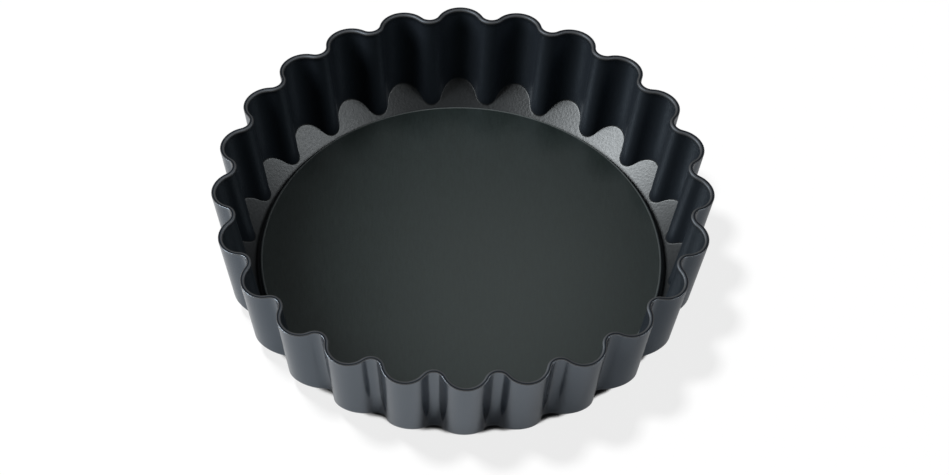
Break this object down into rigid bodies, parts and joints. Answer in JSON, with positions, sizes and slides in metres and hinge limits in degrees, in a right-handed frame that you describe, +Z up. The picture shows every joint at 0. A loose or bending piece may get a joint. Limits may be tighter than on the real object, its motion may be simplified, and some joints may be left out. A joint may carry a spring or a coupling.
{
  "type": "loose-bottom fluted pan",
  "caption": "Small round tart pan of dark coated sheet steel: a fluted flared ring with an inner ledge, and a loose bottom plate that lifts out to free the bake.",
  "frame": {"origin": "on the pan's axis, at the level of the ledge's underside, which is the table it stands on", "axes": "+Z up along the pan's axis towards its open mouth; +X and +Y each pass through the crest of a flute"},
  "size_m": [0.12, 0.12, 0.027],
  "materials": {
    "ring_coat": "satin dark grey non-stick coat on sheet steel",
    "plate_coat": "satin dark grey-green non-stick coat on sheet steel, finely brushed"
  },
  "bodies": {
    "ring": {"fluted_ring": "ring_coat"},
    "bottom": {"loose_bottom": "plate_coat"}
  },
  "joints": [
    {"name": "bottom_lift", "type": "slide", "parent": "ring", "child": "bottom", "axis": [0, 0, 1], "range_m": [0, 0.045]}
  ]
}
